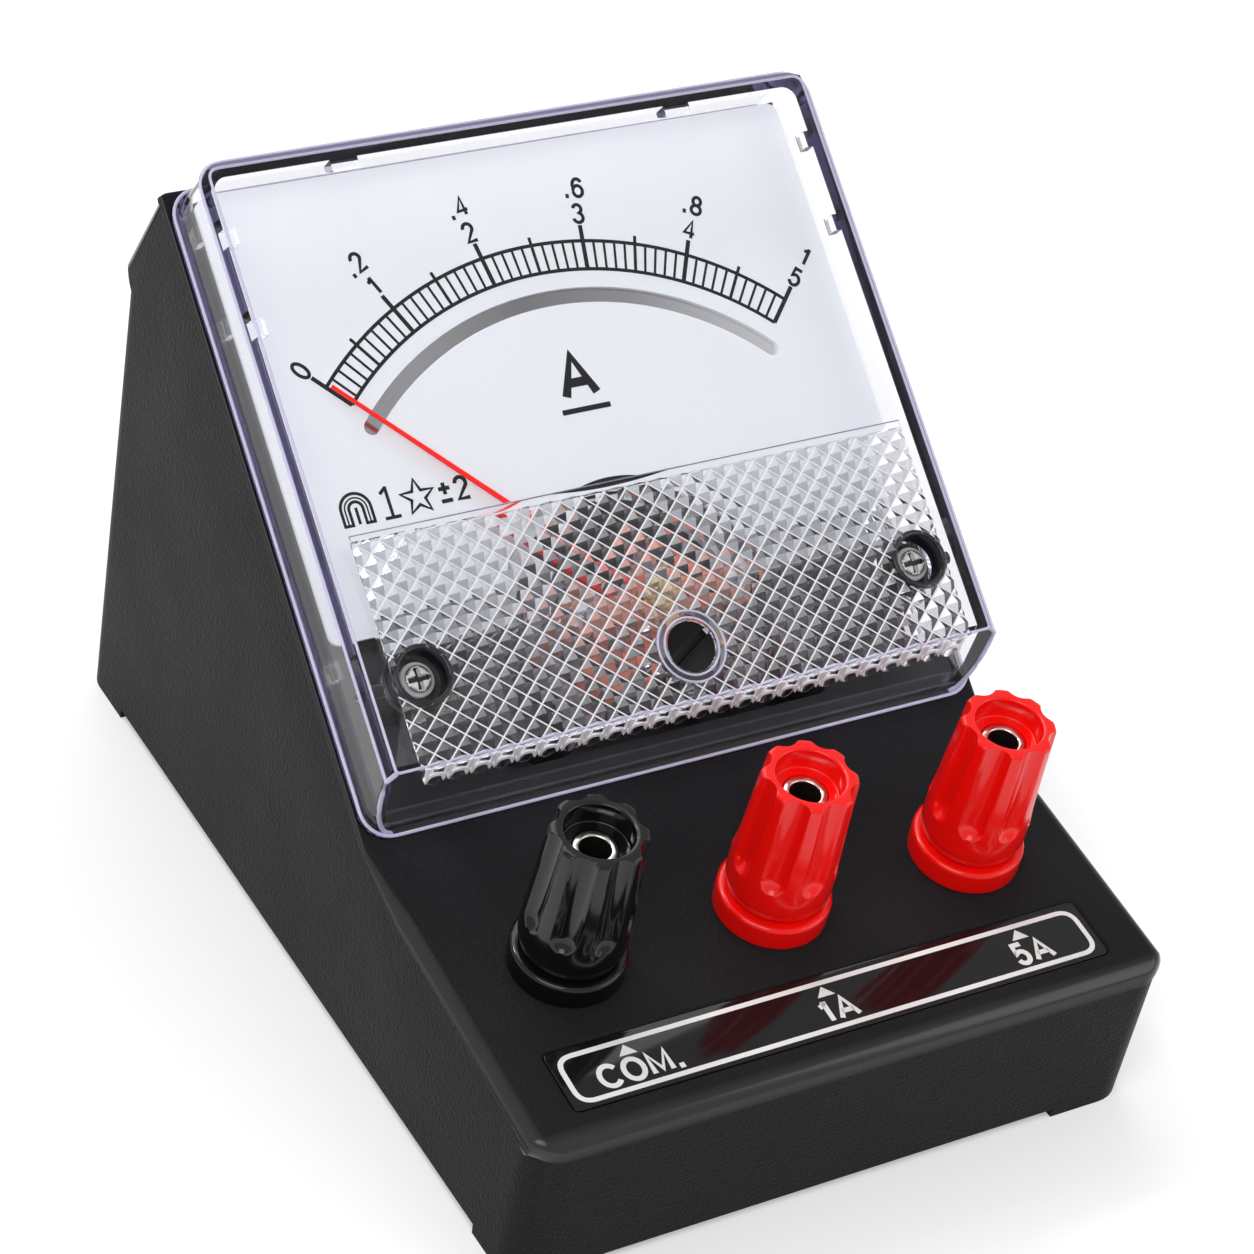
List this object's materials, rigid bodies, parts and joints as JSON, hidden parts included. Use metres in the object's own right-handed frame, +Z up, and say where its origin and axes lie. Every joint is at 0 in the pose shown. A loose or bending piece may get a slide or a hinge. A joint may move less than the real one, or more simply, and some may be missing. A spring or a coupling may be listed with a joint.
{
  "type": "bench ammeter",
  "caption": "Sloped-panel moving-coil bench ammeter with clear cover, pointer, zero adjuster and screw-cap socket terminals.",
  "frame": {"origin": "on the table, below the middle of the housing", "axes": "+Z up, -Y is the front with the terminals, +X to the right of someone reading the dial"},
  "size_m": [0.0954, 0.1388, 0.0987],
  "materials": {
    "case_black": "fine moulded grain, satin",
    "label_gloss": "gloss with white print",
    "tray_black": "smooth",
    "clear_cover": "clear moulded polystyrene",
    "dial_white": "matt white enamel with black print",
    "mirror": "mirror",
    "magnet_grey": "cast",
    "soft_iron": "turned",
    "brass": "bright",
    "spring_bronze": "bright",
    "screw_steel": "bright zinc",
    "nickel": "nickel plate",
    "adjuster_black": "gloss",
    "pointer_red": "enamel",
    "former_alu": "satin",
    "copper": "enamelled wire",
    "post_black": "gloss",
    "post_red": "gloss",
    "shunt_alloy": "rolled resistance alloy",
    "wire_blue": "wire insulation"
  },
  "bodies": {
    "case": {"housing": "case_black", "bottom_cover": "case_black", "bottom_screws": "screw_steel", "label_plate": "label_gloss", "meter_base": "tray_black", "meter_cover": "clear_cover", "cover_screws": "screw_steel", "dial_plate": "dial_white", "mirror_strip": "mirror", "magnet": "magnet_grey", "pole_shoes": "soft_iron", "iron_core": "soft_iron", "core_bracket": "brass", "front_bridge": "brass", "rear_bridge": "brass", "bridge_screws": "screw_steel", "jewel_screws": "brass", "terminal_studs": "nickel", "collar_common": "post_black", "collars_red": "post_red", "terminal_insulators": "case_black", "terminal_nuts": "nickel", "solder_tags": "brass", "shunt_low": "shunt_alloy", "shunt_high": "shunt_alloy", "lead_wires": "wire_blue"},
    "moving_coil": {"pointer": "pointer_red", "coil_former": "former_alu", "coil_winding": "copper", "pivot_staff": "screw_steel", "balance_weights": "brass", "front_hairspring": "spring_bronze", "rear_hairspring": "spring_bronze"},
    "zero_lever": {"zero_lever": "brass"},
    "zero_adjuster": {"zero_adjuster": "adjuster_black"},
    "washer_common": {"washer_common": "nickel"},
    "washer_low": {"washer_low": "nickel"},
    "washer_high": {"washer_high": "nickel"},
    "cap_common": {"cap_common": "post_black"},
    "cap_low": {"cap_low": "post_red"},
    "cap_high": {"cap_high": "post_red"}
  },
  "joints": [
    {"name": "pointer_swing", "type": "hinge", "parent": "case", "child": "moving_coil", "pos_m": [0, -0.00428, 0.05124], "axis": [0, 0.6198, -0.7848], "range_deg": [-2, 91], "stiffness_Nm_per_rad": 0.00002},
    {"name": "zero_set", "type": "hinge", "parent": "case", "child": "zero_adjuster", "pos_m": [0, -0.01597, 0.05169], "axis": [0, -0.6198, 0.7848], "range_deg": [-35, 35]},
    {"name": "zero_lever_swing", "type": "hinge", "parent": "case", "child": "zero_lever", "pos_m": [0, -0.00428, 0.05124], "axis": [0, -0.6198, 0.7848], "range_deg": [-6, 6]},
    {"name": "lift_common", "type": "slide", "parent": "case", "child": "washer_common", "axis": [0, -0.1426, 0.9898], "range_m": [0, 0.004]},
    {"name": "unscrew_common", "type": "hinge", "parent": "washer_common", "child": "cap_common", "pos_m": [-0.0305, -0.04347, 0.03229], "axis": [0, -0.1426, 0.9898], "range_deg": [0, 1440]},
    {"name": "lift_low", "type": "slide", "parent": "case", "child": "washer_low", "axis": [0, -0.1426, 0.9898], "range_m": [0, 0.004]},
    {"name": "unscrew_low", "type": "hinge", "parent": "washer_low", "child": "cap_low", "pos_m": [0, -0.04347, 0.03229], "axis": [0, -0.1426, 0.9898], "range_deg": [0, 1440]},
    {"name": "lift_high", "type": "slide", "parent": "case", "child": "washer_high", "axis": [0, -0.1426, 0.9898], "range_m": [0, 0.004]},
    {"name": "unscrew_high", "type": "hinge", "parent": "washer_high", "child": "cap_high", "pos_m": [0.0305, -0.04347, 0.03229], "axis": [0, -0.1426, 0.9898], "range_deg": [0, 1440]}
  ],
  "couplings": [
    {"joint": "zero_lever_swing", "follows": "zero_set", "ratio": 0.13592},
    {"joint": "unscrew_common", "follows": "lift_common", "rad_per_m": 6283.2},
    {"joint": "unscrew_low", "follows": "lift_low", "rad_per_m": 6283.2},
    {"joint": "unscrew_high", "follows": "lift_high", "rad_per_m": 6283.2}
  ]
}
